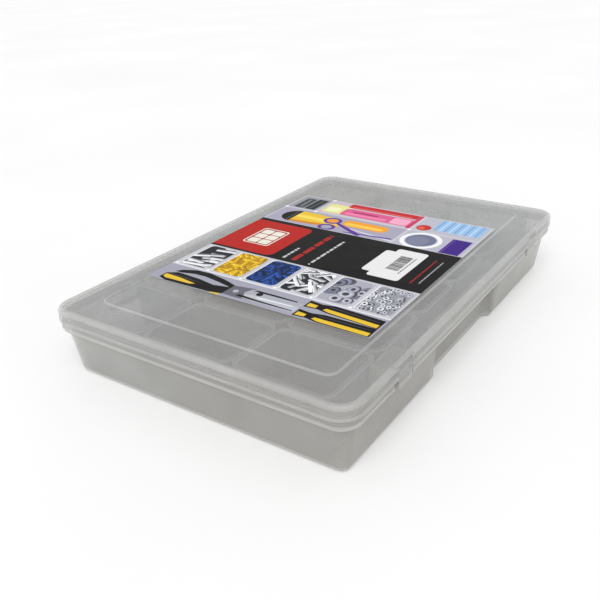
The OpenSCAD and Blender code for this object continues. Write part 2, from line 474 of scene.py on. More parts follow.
def frosted_plastic(name, colour, thin, solid_edge, rough, marks=0.06):
    """Translucent polypropylene: see-through where it faces the eye, milky where it turns away.
    thin and solid_edge are its opacity face on and at a glancing view."""
    material, nodes, shader = new_material(name)
    where = nodes.add("ShaderNodeTexCoord").outputs["Object"]
    skin = place_group(nodes, SKIN, {"Vector": where, "Grain": 0.2, "Marks": marks})
    milk = place_group(nodes, MILK, {"Vector": where, "Colour": colour, "Drift": 0.16})
    edge = place_group(nodes, EDGE_HIGHLIGHT, {"Vector": where, "Breakup": 0.3})["Mask"]
    # Painted highlight: the edge mask lightens rims and fillets toward pale grey where light would catch
    # them; the scratch marks lighten the colour as real wear
    scratched = nodes.maths("MULTIPLY", skin["Marks"], 0.3)
    scratch_and_highlight = nodes.maths("ADD", scratched, nodes.maths("MULTIPLY", edge, 0.3))
    pale = (0.8, 0.8, 0.8, 1.0)
    nodes.feed(nodes.mix(scratch_and_highlight, milk["Colour"], pale), shader.inputs["Base Color"])
    facing = nodes.add("ShaderNodeLayerWeight", {"Blend": 0.5}).outputs["Facing"]
    turned = nodes.maths("POWER", facing, 2.5)
    body = nodes.remap(turned, 0.0, 1.0, thin, solid_edge)
    body = nodes.maths("ADD", body, milk["Density"])
    body = nodes.maths("ADD", body, nodes.maths("MULTIPLY", skin["Marks"], 0.1))
    body = nodes.maths("ADD", body, nodes.maths("MULTIPLY", edge, 0.16), clamp=True)
    nodes.feed(body, shader.inputs["Alpha"])
    haze = nodes.remap(skin["Haze"], 0.3, 0.7, rough - 0.06, rough + 0.08)
    haze = nodes.maths("ADD", haze, nodes.maths("MULTIPLY", skin["Marks"], 0.15), clamp=True)
    nodes.feed(haze, shader.inputs["Roughness"])
    bump_normal(nodes, shader, skin["Height"], 0.08, 0.0003)
    nodes.fill(shader, {"IOR": 1.49, "Specular IOR Level": 0.38})
    return material


def printed_film(name, rough, coat, grain_size, fibre):
    """Ink from the piece's own colours, with halftone grain under a thin varnish or on bare paper."""
    material, nodes, shader = new_material(name)
    where = nodes.add("ShaderNodeTexCoord").outputs["Object"]
    ink = nodes.add("ShaderNodeAttribute", attribute_name="ink").outputs["Color"]
    skin = place_group(nodes, SKIN, {"Vector": where, "Grain size": grain_size, "Grain": fibre, "Marks": 0.3})
    dots = nodes.remap(nodes.noise(where, 2600.0, 1.0), 0.3, 0.7, 0.92, 1.06)
    colour = nodes.mix(1.0, ink, nodes.grey(dots), "MULTIPLY")
    scuff = (0.7, 0.7, 0.7, 1.0)
    scuffed = nodes.mix(nodes.maths("MULTIPLY", skin["Marks"], 0.25), colour, scuff)
    nodes.feed(scuffed, shader.inputs["Base Color"])
    nodes.feed(nodes.remap(skin["Haze"], 0.3, 0.7, rough - 0.05, rough + 0.08), shader.inputs["Roughness"])
    bump_normal(nodes, shader, skin["Height"], 0.08, 0.0002)
    nodes.fill(shader, {"Coat Weight": coat, "Coat Roughness": 0.3, "IOR": 1.45, "Specular IOR Level": 0.07})
    return material


def steel_wire():
    """Drawn steel with fine lines along the pin."""
    material, nodes, shader = new_material("hinge_wire")
    where = nodes.add("ShaderNodeTexCoord").outputs["Object"]
    drawn = nodes.add("ShaderNodeMapping", {"Vector": where, "Scale": (20.0, 1800.0, 1800.0)}).outputs[0]
    lines = nodes.noise(drawn, 1.0, 4.0, 0.6)
    shade = nodes.remap(lines, 0.3, 0.7, 0.5, 0.66)
    nodes.feed(nodes.grey(shade), shader.inputs["Base Color"])
    nodes.feed(nodes.remap(lines, 0.3, 0.7, 0.25, 0.42), shader.inputs["Roughness"])
    bump_normal(nodes, shader, lines, 0.2, 0.00002)
    nodes.fill(shader, {"Metallic": 1.0})
    return material


LID_PLASTIC = frosted_plastic("lid_plastic", srgb(184, 184, 182), 0.28, 0.64, 0.28)
BASE_PLASTIC = frosted_plastic("base_plastic", srgb(189, 187, 182), 0.37, 0.72, 0.34)
TRAY_PLASTIC = frosted_plastic("tray_plastic", srgb(175, 178, 187), 0.27, 0.66, 0.28, marks=0.03)
CLIP_PLASTIC = frosted_plastic("clip_plastic", srgb(186, 186, 184), 0.38, 0.76, 0.30)
FILM = printed_film("label_film", 0.42, 0.02, 1800.0, 0.1)
PAPER = printed_film("barcode_paper", 0.62, 0.0, 900.0, 0.6)
STEEL = steel_wire()

# ---------------------------------------------------------------- repeated shapes


def geometry_tree(name, inputs):
    """A geometry tree with named inputs; returns its nodes, its inputs and a call that ends it."""
    tree = bpy.data.node_groups.new(name, "GeometryNodeTree")
    for label, kind in inputs + [("Material", "NodeSocketMaterial")]:
        tree.interface.new_socket(name=label, in_out="INPUT", socket_type=kind)
    tree.interface.new_socket(name="Geometry", in_out="OUTPUT", socket_type="NodeSocketGeometry")
    nodes = Nodes(tree)
    given = tree.nodes.new("NodeGroupInput").outputs
    end = tree.nodes.new("NodeGroupOutput")
    end.location = (1800, 0)

    def close(instances):
        real = nodes.add("GeometryNodeRealizeInstances", {"Geometry": instances})
        last = nodes.add("GeometryNodeSetMaterial", {
            "Geometry": real.outputs[0], "Material": given["Material"]})
        nodes.feed(last.outputs[0], end.inputs["Geometry"])
        return tree

    return nodes, given, close


def bar_row_tree():
    """A row of equal blocks whose width may vary from one to the next, as ribs or printed bars do."""
    nodes, given, close = geometry_tree("bar_row", [
        ("Count", "NodeSocketInt"), ("Start", "NodeSocketVector"), ("Step", "NodeSocketVector"),
        ("Bar size", "NodeSocketVector"), ("Thinnest", "NodeSocketFloat"), ("Seed", "NodeSocketInt")])
    row = nodes.add("GeometryNodeMeshLine", {
        "Count": given["Count"], "Start Location": given["Start"], "Offset": given["Step"]})
    bar = nodes.add("GeometryNodeMeshCube", {"Size": given["Bar size"]})
    wide = nodes.add("FunctionNodeRandomValue", data_type="FLOAT")
    for socket in wide.inputs:
        if socket.name == "Min" and socket.type == "VALUE":
            nodes.feed(given["Thinnest"], socket)
    nodes.feed(given["Seed"], wide.inputs["Seed"])
    value = next(socket for socket in wide.outputs if socket.type == "VALUE")
    scale = nodes.add("ShaderNodeCombineXYZ", {"X": value, "Y": 1.0, "Z": 1.0})
    placed = nodes.add("GeometryNodeInstanceOnPoints", {
        "Points": row.outputs["Mesh"], "Instance": bar.outputs["Mesh"], "Scale": scale.outputs[0]})
    return close(placed.outputs["Instances"])


def disc_grid_tree():
    """A grid of flat round discs, as ejector pins leave on a moulding."""
    nodes, given, close = geometry_tree("disc_grid", [
        ("Columns", "NodeSocketInt"), ("Rows", "NodeSocketInt"), ("Length", "NodeSocketFloat"),
        ("Width", "NodeSocketFloat"), ("Centre", "NodeSocketVector"), ("Radius", "NodeSocketFloat"),
        ("Depth", "NodeSocketFloat")])
    grid = nodes.add("GeometryNodeMeshGrid", {
        "Vertices X": given["Columns"], "Vertices Y": given["Rows"],
        "Size X": given["Length"], "Size Y": given["Width"]})
    moved = nodes.add("GeometryNodeTransform", {
        "Geometry": grid.outputs["Mesh"], "Translation": given["Centre"]})
    disc = nodes.add("GeometryNodeMeshCylinder", {
        "Vertices": 28, "Radius": given["Radius"], "Depth": given["Depth"]})
    placed = nodes.add("GeometryNodeInstanceOnPoints", {
        "Points": moved.outputs[0], "Instance": disc.outputs["Mesh"]})
    return close(placed.outputs["Instances"])


BAR_ROW = bar_row_tree()
DISC_GRID = disc_grid_tree()


def from_tree(name, tree, material, **values):
    """A plain millimetre mesh made by a geometry tree, with its inputs given by name."""
    obj = bpy.data.objects.new(name, bpy.data.meshes.new(name))
    bpy.context.scene.collection.objects.link(obj)
    step = obj.modifiers.new("nodes", "NODES")
    step.node_group = tree
    values["Material"] = material
    for item in tree.interface.items_tree:
        if item.in_out == "INPUT":
            step[item.identifier] = values[item.name.replace(" ", "_")]
    bake_modifiers(obj)
    return obj


# ---------------------------------------------------------------- lid


def shell_rings(points, grow=None):
    """Rings of the lid or base from (radius, z) points; grow lets the finger recess shape them."""
    return [(CORNER_X, CORNER_Y, radius, z, grow) for radius, z in points]


def panel_ring(inset, z):
    """A ring of the raised panel, a distance inside its foot."""
    return (PANEL_HALF[0] - PANEL_CORNER, PANEL_HALF[1] - PANEL_CORNER, PANEL_CORNER - inset, z, None)


def hinge_arm_outline():
    """Side view of a lid knuckle and the arm that hangs it from the skirt."""
    back, top, thick = LID_HIGH.y, SKIRT_FOOT + 1, 1.6
    inner = math.degrees(math.acos((back - thick - HINGE.y) / KNUCKLE_R))
    round_part = arc(HINGE.y, HINGE.z, KNUCKLE_R, 0, inner - 360, 30)
    return [(back - 0.001, top), *round_part, (back - thick, top)]


def make_lid():
    """The shell, a notch with two cheeks for each clip, and the knuckles of both hinges."""
    fillet = 2.5
    under = LID_TOP - WALL
    rings = [panel_ring(2.4, under + PANEL_RISE), panel_ring(2.1, under + PANEL_RISE - 0.05)]
    rings += [panel_ring(1.4, under)]
    rings += shell_rings(arc(SKIRT - fillet, LID_TOP - fillet, fillet - WALL, 90, 0, 6))
    # Down to the skirt's foot, out round its bead and up the outside
    rings += shell_rings((
        (SKIRT - WALL, SKIRT_FOOT + 0.2), (SKIRT - WALL + 0.2, SKIRT_FOOT), (SKIRT, SKIRT_FOOT),
        (CORNER - 0.08, SKIRT_FOOT + 0.08), (CORNER, SKIRT_FOOT + 0.3), (CORNER, SKIRT_FOOT + 1.1),
        (CORNER - 0.1, SKIRT_FOOT + 1.4), (SKIRT, SKIRT_FOOT + 1.7)))
    rings += shell_rings(arc(SKIRT - fillet, LID_TOP - fillet, fillet, 0, 90, 10))
    rings += [panel_ring(-0.25, LID_TOP), panel_ring(0.0, LID_TOP + 0.05), panel_ring(0.55, LID_TOP + 0.5)]
    rings += [panel_ring(0.8, LID_TOP + PANEL_RISE - 0.02), panel_ring(1.1, LID_TOP + PANEL_RISE)]
    lid = from_bmesh("lid_shell", loft(rings, steps=14))
    notch, cheek, front = 6.8, 1.9, -LID_HIGH.y - CUT_SPARE
    for side in (-1, 1):
        mid, hinge = side * LATCH_X, side * HINGE_X
        combine(lid, "DIFFERENCE", block((mid - notch, front, SKIRT_FOOT - CUT_SPARE),
                                         (mid + notch, CLIP_PIVOT.y + 3, LID_TOP - WALL)))
        low, high = (CLIP_PIVOT.y - 1.7, CLIP_PIVOT.z - 2), (CLIP_PIVOT.y + 2, LID_TOP - 1)
        combine(lid, "UNION",
                block((mid - notch - cheek, *low), (mid - notch, *high)),
                block((mid + notch, *low), (mid + notch + cheek, *high)),
                prism(hinge - KNUCKLE_HALF, hinge + KNUCKLE_HALF, hinge_arm_outline()))
        stub_reach = notch + cheek + CUT_SPARE
        pin_reach = KNUCKLE_HALF + 4
        combine(lid, "DIFFERENCE",
                rod(mid - stub_reach, mid + stub_reach, CLIP_PIVOT.y, CLIP_PIVOT.z, STUB_BORE),
                rod(hinge - pin_reach, hinge + pin_reach, HINGE.y, HINGE.z, LID_BORE))
    combine_tool(lid, "DIFFERENCE", from_tree(
        "ejector_marks", DISC_GRID, LID_PLASTIC, Columns=4, Rows=3, Length=132.0, Width=108.0,
        Centre=(0.0, 0.0, under + PANEL_RISE), Radius=3.0, Depth=0.3))
    finish_piece(lid, "lid", LID_PLASTIC, "lid")


# ---------------------------------------------------------------- base

HOLLOW_X = RECESS_HALF - RECESS_HOLLOW_R
HOLLOW_Y = RECESS_Y - RECESS_HOLLOW_R
CROWN_Y = HOLLOW_Y + RECESS_STEP
CROWN_X = HOLLOW_X + math.sqrt((RECESS_HOLLOW_R + RECESS_CROWN_R) ** 2 - RECESS_STEP**2)


def recess_pull(x, y, grow):
    """Front wall's y at x, drawn in where the finger recess is; grow moves it further in."""
    x = abs(x)
    hollow, crown = RECESS_HOLLOW_R + grow, RECESS_CROWN_R - grow
    share = hollow / (RECESS_HOLLOW_R + RECESS_CROWN_R)
    meet_x = HOLLOW_X + (CROWN_X - HOLLOW_X) * share
    if x <= HOLLOW_X:
        return max(y, RECESS_Y + grow)
    if x <= meet_x:
        return max(y, HOLLOW_Y + math.sqrt(hollow**2 - (x - HOLLOW_X) ** 2))
    if x < CROWN_X:
        return max(y, CROWN_Y - math.sqrt(max(crown**2 - (CROWN_X - x) ** 2, 0.0)))
    return y


def recess_stations():
    """Stations along the front side, close together round the S-shaped ends of the recess."""
    half = set()
    for grow in (0.0, WALL):
        for a in range(0, 79, 6):
            half.add(round(HOLLOW_X + (RECESS_HOLLOW_R + grow) * math.sin(math.radians(a)), 3))
            half.add(round(CROWN_X - (RECESS_CROWN_R - grow) * math.sin(math.radians(a)), 3))
    half = sorted(half) + [CROWN_X + 3]
    kept = [x for i, x in enumerate(half) if i == 0 or x - half[i - 1] > 0.03]
    return [-x for x in reversed(kept)] + kept


def base_knuckle(mid):
    """A knuckle on its web, which starts inside the back wall."""
    root = CORNER_Y + 6.9
    round_part = arc(HINGE.y, HINGE.z, KNUCKLE_R, -90, 90, 18)
    outline = [(root, HINGE.z - KNUCKLE_R), *round_part, (root, HINGE.z + KNUCKLE_R)]
    return prism(mid - BASE_KNUCKLE_HALF, mid + BASE_KNUCKLE_HALF, outline)


def make_base():
    """The shell with a gate dimple under it, its finger recess, a pocket and catch bar for each clip,
    and the knuckles that hold the hinge pins."""
    foot, foot_fillet, inner_fillet = CORNER - 7.3, 2.6, 1.6
    neck, neck_z = 7.96, 25.0
    flange, flange_fillet = 11.0, 3.0
    upstand, lip = 8.2, 0.4
    under_z = neck_z + 1 + flange_fillet
    stand = (114.0, 70.0, 4.0)  # where the flat of the floor ends, outside and inside
    rings = [(0.0, 0.0, 1.6, 0.35, None), (0.0, 0.0, 1.9, 0.3, None), (0.0, 0.0, 2.6, 0.0, None)]
    rings += [(*stand, 0.0, None)]
    rings += shell_rings(arc(foot - foot_fillet, foot_fillet, foot_fillet, -90, 0, 8), 0.0)
    rings += shell_rings([(neck, neck_z), (neck + 0.2, neck_z + 1)], 0.0)
    # The recess stops under the flange, part of the way round the flange's fillet
    below = arc(upstand, under_z, flange_fillet, -90, 0, 10)
    rings += shell_rings([(r, z) for r, z in below if z < RECESS_TOP], 0.0)
    cut_r = upstand + math.sqrt(flange_fillet**2 - (under_z - RECESS_TOP) ** 2)
    rings += shell_rings([(cut_r, RECESS_TOP)], 0.0) + shell_rings([(cut_r, RECESS_TOP)])
    rings += shell_rings([(r, z) for r, z in below if z > RECESS_TOP])
    rings += shell_rings((
        (flange, under_z + 0.4), (flange, FLANGE_TOP - 0.3), (flange - 0.09, FLANGE_TOP - 0.09),
        (flange - 0.3, FLANGE_TOP), (upstand + 0.3, FLANGE_TOP), (upstand, FLANGE_TOP + 0.3)))
    rings += shell_rings(arc(upstand - lip, UPSTAND_TOP - lip, lip, 0, 90, 4))
    inner = upstand - WALL
    rings += shell_rings(arc(inner + lip, UPSTAND_TOP - lip, lip, 90, 180, 4))
    ledge = RECESS_TOP + WALL
    rings += shell_rings([(inner, ledge + 0.02), (inner, ledge)])
    rings += shell_rings([(inner, ledge), (inner, neck_z + 2), (neck - WALL, neck_z)], WALL)
    rings += shell_rings(
        arc(foot - WALL - inner_fillet, FLOOR + inner_fillet, inner_fillet, 0, -90, 6), WALL)
    rings += [(*stand, FLOOR, None)]
    base = from_bmesh("base_shell", loft(rings, steps=14, front_x=recess_stations(), pull=recess_pull))
    front, wide = -LID_HIGH.y - 2, POCKET_HALF + WALL
    socket = KNUCKLE_HALF + KNUCKLE_GAP
    bar_half, bar_front, bar_foot, bar_top = POCKET_HALF + 0.2, -87.6, 29.6, 31.0
    for side in (-1, 1):
        mid, hinge = side * LATCH_X, side * HINGE_X
        combine(base, "UNION", block((mid - wide, -CORNER_Y - 7.5, POCKET_FLOOR - WALL),
                                     (mid + wide, RECESS_Y + WALL, UPSTAND_TOP - 0.03)))
        combine(base, "DIFFERENCE",
                block((mid - POCKET_HALF, front, POCKET_FLOOR),
                      (mid + POCKET_HALF, RECESS_Y, UPSTAND_TOP + 2)),
                block((hinge - socket, CORNER_Y + upstand + 0.6, neck_z - 0.1),
                      (hinge + socket, LID_HIGH.y + CUT_SPARE, FLANGE_TOP + CUT_SPARE)))
        offset = socket + BASE_KNUCKLE_HALF
        combine(base, "UNION", base_knuckle(hinge - offset), base_knuckle(hinge + offset),
                block((mid - bar_half, bar_front, bar_foot), (mid + bar_half, RECESS_Y + 0.2, bar_top)))
        reach = offset + BASE_KNUCKLE_HALF + CUT_SPARE
        combine(base, "DIFFERENCE", rod(hinge - reach, hinge + reach, HINGE.y, HINGE.z, BASE_BORE))
    combine_tool(base, "DIFFERENCE", from_tree(
        "ejector_marks", DISC_GRID, BASE_PLASTIC, Columns=6, Rows=4, Length=220.0, Width=132.0,
        Centre=(0.0, 0.0, 0.0), Radius=2.6, Depth=0.36))
    finish_piece(base, "base", BASE_PLASTIC, "base")


# ---------------------------------------------------------------- trays


def make_tray(node):
    """A thin drafted cup with a rolled rim, a shallow foot recess and a gate mark on its floor."""
    low, high = box_mm(node)
    mid = (low + high) / 2
    corner, rim, wall, draft, fillet = 7.0, 2.6, 1.0, 2.3, 3.0
    half_x = (high.x - low.x) / 2 - corner
    half_y = (high.y - low.y) / 2 - corner
    top = corner - rim + wall
    foot = top - draft
    rim_under = high.z - 1.2
    floor = low.z + wall
    recess, foot_flat = 4.4, 4.0  # how far inside the corner centres these two lie
    flat_corner = 2.6

    def rings_at(points):
        return [(half_x, half_y, radius, z, None) for radius, z in points]

    rings = [(half_x - recess, half_y - recess, flat_corner, low.z + 0.3, None)]
    rings += [(half_x - foot_flat, half_y - foot_flat, flat_corner, low.z, None)]
    rings += rings_at(arc(foot - fillet, low.z + fillet, fillet, -90, 0, 8))
    rings += rings_at(((top - 0.1, rim_under - 0.6), (top + 0.3, rim_under - 0.1), (top + 0.7, rim_under),
                       (corner - 0.2, rim_under), (corner, rim_under + 0.2)))
    rings += rings_at(arc(corner - 0.5, high.z - 0.5, 0.5, 0, 90, 5))
    rings += rings_at(arc(top - wall + 0.8, high.z - 0.8, 0.8, 90, 180, 6))
    rings += rings_at(arc(foot - fillet, low.z + fillet, fillet - wall, 0, -90, 8))
    rings += [(half_x - foot_flat, half_y - foot_flat, flat_corner, floor, None)]
    rings += [(0.0, 0.0, 1.5, floor, None), (0.0, 0.0, 1.2, floor + 0.2, None)]
    rings += [(0.0, 0.0, 0.7, floor + 0.22, None)]
    tray = from_bmesh(node + "_cup", loft(rings, steps=8))
    for v in tray.data.vertices:
        v.co.x += mid.x
        v.co.y += mid.y
    finish_piece(tray, "base", TRAY_PLASTIC, node)


# ---------------------------------------------------------------- latch clips


def make_latch(node, side):
    """A flat clip with a hook at its foot, stub pins at its top and grip ribs on its face."""
    mid = side * LATCH_X
    half, eye_r, stub_length = 6.5, 1.6, 1.5
    face = CLIP_PIVOT.y - 2
    back = face + 1.5
    foot, top = 26.6, CLIP_PIVOT.z
    hook = -87.9
    outline = [(face, top), (face, foot + 2.4), (face - 0.2, foot + 1.4), (face - 0.2, foot + 0.3)]
    outline += [(face + 0.1, foot), (back, foot), (hook + 0.3, foot + 1.1), (hook, foot + 1.5)]
    outline += [(hook, foot + 2.2), (back, foot + 2.6), (back, top)]
    reach = half + stub_length
    clip = solid(node + "_clip", prism(mid - half, mid + half, outline))
    combine(clip, "UNION", rod(mid - half, mid + half, CLIP_PIVOT.y, CLIP_PIVOT.z, eye_r),
            rod(mid - reach, mid + reach, CLIP_PIVOT.y, CLIP_PIVOT.z, STUB_R))
    combine_tool(clip, "UNION", from_tree(
        "grip_ribs", BAR_ROW, CLIP_PLASTIC, Count=4, Start=(mid, face, foot + 3.4), Step=(0.0, 0.0, 1.3),
        Bar_size=(2 * half - 1.6, 0.34, 0.6), Thinnest=1.0, Seed=0))
    finish_piece(clip, node, CLIP_PLASTIC, node, bevel=0.12)


# ---------------------------------------------------------------- printed label


class Print:
    """Flat artwork: later shapes cover earlier ones, and the whole becomes one sheet of faces."""

    def __init__(self, seed):
        self.shapes = []
        self.window = None
        self.chance = random.Random(seed)

    def poly(self, points, colour):
        """Adds a convex or simple outline, cut at the window and turned anticlockwise."""
        if self.window:
            points = clipped(points, self.window)
        if len(points) >= 3:
            turn = sum(p[0] * q[1] - q[0] * p[1] for p, q in zip(points, points[1:] + points[:1]))
            self.shapes.append((points if turn > 0 else points[::-1], colour))

    def rect(self, x0, y0, x1, y1, colour):
        self.poly([(x0, y0), (x1, y0), (x1, y1), (x0, y1)], colour)

    def disc(self, x, y, radius, colour, steps=20, squash=1.0):
        self.poly([(a, y + (b - y) * squash) for a, b in circle(x, y, radius, steps)], colour)

    def round_rect(self, x0, y0, x1, y1, radius, colour, steps=5):
        mid_x, mid_y = (x0 + x1) / 2, (y0 + y1) / 2
        ring = ring_points((x1 - x0) / 2 - radius, (y1 - y0) / 2 - radius, radius, steps)
        self.poly([(x + mid_x, y + mid_y) for x, y in ring], colour)

    def bar(self, x, y, length, width, angle, colour, taper=1.0):
        """A bar centred on x, y, turned by an angle in degrees, that may narrow to its far end."""
        c, s = math.cos(math.radians(angle)), math.sin(math.radians(angle))
        ends = ((-1, -1, 1.0), (1, -1, taper), (1, 1, taper), (-1, 1, 1.0))
        points = []
        for u, v, k in ends:
            a, b = u * length / 2, v * width / 2 * k
            points.append((x + a * c - b * s, y + a * s + b * c))
        self.poly(points, colour)


def clipped(points, window):
    """The part of a convex outline inside the window (x0, y0, x1, y1)."""
    left, foot, right, top = window
    for axis, limit, sign in ((0, left, 1), (0, right, -1), (1, foot, 1), (1, top, -1)):
        kept = []
        for i, p in enumerate(points):
            q = points[i - 1]
            inside_p = sign * (p[axis] - limit) >= 0
            inside_q = sign * (q[axis] - limit) >= 0
            if inside_p != inside_q:
                t = (limit - q[axis]) / (p[axis] - q[axis])
                kept.append((q[0] + t * (p[0] - q[0]), q[1] + t * (p[1] - q[1])))
            if inside_p:
                kept.append(p)
        points = kept
    return points


def shade(colour, factor):
    """The colour made lighter or darker, kept within 0 to 255."""
    return tuple(min(255, max(0, c * factor)) for c in colour)


WHITE = (196, 196, 203)
PALE = (190, 190, 202)
BLACK = (21, 21, 23)
RED = (178, 34, 28)
YELLOW = (226, 188, 56)


def scatter_bars(art, window, colour, count, length, width, back, spread=0.3, angles=(0, 180), dark=0.45):
    """A heap of straight pieces, each with a light and a dark side."""
    art.window = window
    art.rect(*window, back)
    for _ in range(count):
        x = art.chance.uniform(window[0], window[2])
        y = art.chance.uniform(window[1], window[3])
        angle = art.chance.uniform(*angles)
        size = length * art.chance.uniform(0.7, 1.15)
        tone = shade(colour, art.chance.uniform(1 - spread, 1 + spread * 0.6))
        off_x = -width * 0.3 * math.sin(math.radians(angle))
        off_y = width * 0.3 * math.cos(math.radians(angle))
        art.bar(x - off_x * 0.9, y - off_y * 0.9, size, width * 1.2, angle, shade(tone, dark))
        art.bar(x, y, size, width, angle, tone, 0.85)
        art.bar(x + off_x, y + off_y, size * 0.9, width * 0.25, angle, shade(tone, 1.35))
    art.window = None


def scatter_rings(art, window, tones, count, radius, back):
    """A heap of washers, nuts or buttons."""
    art.window = window
    art.rect(*window, back)
    for _ in range(count):
        x = art.chance.uniform(window[0], window[2])
        y = art.chance.uniform(window[1], window[3])
        r = radius * art.chance.uniform(0.7, 1.15)
        tone = art.chance.choice(tones)
        squash = art.chance.uniform(0.7, 1.0)
        art.disc(x + r * 0.15, y - r * 0.2, r, shade(back, 0.45), 12, squash)
        art.disc(x, y, r, tone, 12, squash)
        art.disc(x, y, r * 0.8, shade(tone, 1.18), 12, squash)
        art.disc(x, y, r * 0.42, shade(back, 0.4), 10, squash)
    art.window = None


def draw_tools(art, x0, y0, x1, y1):
    """Left strip: long-nosed pliers above and the handles of a second pair below."""
    art.window = (x0, y0, x1, y1)
    ground = (160, 160, 174)
    art.rect(x0, y0, x1, y1, ground)
    near = [(0, 62), (2, 68), (8, 68), (11.5, 62), (10.5, 45), (8.4, 33), (11, 21), (2.5, 21), (0.6, 30)]
    far = [(12, 65), (15.5, 62), (19, 54), (19.4, 44), (17, 32), (13.5, 21), (10, 21), (12.6, 32),
           (14.6, 44), (14.4, 52), (12.2, 60)]
    shapes = [
        (near, BLACK),
        ([(2.6, 64), (4.2, 67), (7.2, 67), (6.6, 56), (4.6, 43), (3.0, 46)], YELLOW),
        ([(8.2, 66), (8.9, 66), (8.2, 52), (6.4, 40)], (70, 70, 76)),
        ([(0, 30), (1.2, 28), (1.8, 23), (0, 23)], YELLOW),
        (far, BLACK),
        ([(2.5, 22), (13.5, 22), (15.6, 10), (14, 1), (3.6, 1), (2.2, 12)], (104, 104, 116)),
        ([(3.4, 9), (8.6, 11), (10, -2), (9.6, -24), (3.2, -24)], (186, 188, 196)),
        ([(9.0, 12), (14.4, 10), (15, 0), (13.4, -24), (9.8, -24)], (168, 170, 180)),
        ([(4.2, 14), (6.4, 13), (5.4, 0), (4.8, -23), (4.0, -23), (3.8, -4)], (30, 30, 36)),
        ([(13.0, 8), (14.8, 6), (14.9, -6), (14.4, -20), (13.4, -20), (13.2, -4)], (30, 30, 36)),
        ([(7.0, 2), (8.2, 2), (9.2, -20), (8.4, -21)], (226, 228, 232)),
    ]
    for outline, colour in shapes:
        art.poly([(x0 + x, y) for x, y in outline], colour)
    art.disc(x0 + 11.4, 3, 2.0, (30, 30, 34))
    art.disc(x0 + 8.4, 17, 1.7, (176, 178, 188))
    for left, lean in ((x0 + 0.2, 0.0), (x0 + 11.0, -1.8)):
        art.poly([(left + 0.6, -25), (left + 8.2, -25), (left + 7.2, -33), (left + 8.8, -40),
                  (left + 9.0 + lean, -70), (left + lean, -70), (left, -40), (left + 1.4, -33)], BLACK)
        art.poly([(left + 1.8, -26), (left + 5.6, -26), (left + 5.0, -31.5), (left + 2.2, -31.5)], YELLOW)
        art.poly([(left + 2.2, -36), (left + 4.2, -37), (left + 4.0 + lean, -69), (left + 0.6 + lean, -69),
                  (left + 1.0, -40)], YELLOW)
        art.poly([(left + 6.2, -38), (left + 6.9, -38), (left + 6.6 + lean, -68), (left + 6.0 + lean, -68)],
                 (66, 66, 72))
    art.window = None


def cell_corners(art, a, b, c, d, radius, colour):
    """Rounds the four corners of a cell by painting its wall's colour over them."""
    corners = ((a, b, 1, 1, 180), (c, b, -1, 1, 270), (c, d, -1, -1, 0), (a, d, 1, -1, 90))
    for x, y, in_x, in_y, start in corners:
        bend = arc(x + in_x * radius, y + in_y * radius, radius, start, start + 90, 4)
        art.poly([(x, y)] + bend, colour)


def draw_hardware(art, x0, y0, x1, y1):
    """Column of six cells: nails, two heaps of wall plugs, screws, washers and nuts."""
    pitch = (y1 - y0) / 6
    inset = 1.8

    def window(row):
        return (x0 + inset, y1 - (row + 1) * pitch + inset, x1 - inset, y1 - row * pitch - inset)

    art.rect(x0, y0, x1, y1, WHITE)
    metal, gap = (214, 215, 220), (40, 42, 48)
    scatter_bars(art, window(0), metal, 15, 15, 2.6, gap, 0.25, (62, 116))
    scatter_bars(art, window(1), (210, 164, 38), 60, 8, 2.3, (184, 136, 30), 0.1, dark=0.76)
    scatter_bars(art, window(2), (33, 66, 132), 62, 9, 2.1, (17, 34, 78), 0.25, dark=0.45)
    scatter_bars(art, window(3), metal, 26, 13, 2.2, gap, 0.25, (35, 165))
    scatter_rings(art, window(4), [(120, 122, 146), (142, 143, 160), (104, 106, 122), (160, 161, 172)],
                  24, 4.4, (168, 168, 180))
    scatter_rings(art, window(5), [(176, 179, 188), (198, 200, 206), (142, 144, 152)], 64, 2.1,
                  (150, 152, 160))
    for row in range(6):
        a, b, c, d = window(row)
        cell_corners(art, a, b, c, d, 3.0, WHITE)
        art.bar((a + c) / 2, d + 0.3, c - a, 0.5, 0, (244, 244, 248))
        art.bar((a + c) / 2, b - 0.5, c - a, 0.4, 0, (150, 150, 162))
        art.disc(x0 + 1.0, y1 - row * pitch, 1.7, (206, 206, 214), 10)
        art.disc(x0 + 1.0, y1 - row * pitch, 1.0, (244, 244, 248), 10)


def draw_band(art, x0, y0, x1, y1):
    """Middle band: dark ground, red badge with a plain divided-box sign, and rules in place of words."""
    art.rect(x0, y0, x1, y1, BLACK)
    left, right, foot = x0 + 2.2, x1 - 4.2, y1 - 45
    radius = 5.0
    badge = [(left, y1), (right, y1)] + arc(right - radius, foot + radius, radius, 0, -90, 6)
    badge += arc(left + radius, foot + radius, radius, -90, -180, 6)
    art.poly(badge, RED)
    mid = (left + right) / 2
    art.round_rect(mid - 13, foot + 11, mid + 13, foot + 31, 2.2, (232, 226, 214))
    art.round_rect(mid - 12, foot + 12, mid + 12, foot + 30, 1.6, shade(RED, 0.82))
    for column in range(3):
        for row in range(2):
            a = mid - 11 + column * 7.5
            b = foot + 13 + row * 8.3
            art.round_rect(a, b, a + 6.7, b + 7.5, 1.0, (232, 226, 214))
    dashes(art, left + 2, y1 - 53.4, 17, 1.7, 1.6, (196, 196, 198))
    dashes(art, left + 2, y1 - 60.6, 44, 3.4, 3.4, (164, 36, 32))
    dashes(art, left + 4, y1 - 72.4, 37, 1.7, 1.9, (196, 196, 198))
    art.disc(left + 1.6, y1 - 72.4, 0.7, (214, 214, 216), 10)
    dashes(art, left + 7, y0 + 11, 35, 1.0, 0.8, (160, 36, 34))
    dashes(art, left + 9, y0 + 6.5, 32, 0.8, 0.7, (170, 170, 172))


def dashes(art, x, y, length, height, step, colour):
    """A rule broken into blocks of one height, where the print would carry words."""
    at = x
    while at < x + length:
        wide = step * art.chance.uniform(1.2, 3.6)
        art.rect(at, y - height / 2, min(at + wide, x + length), y + height / 2, colour)
        at += wide + step * 0.5


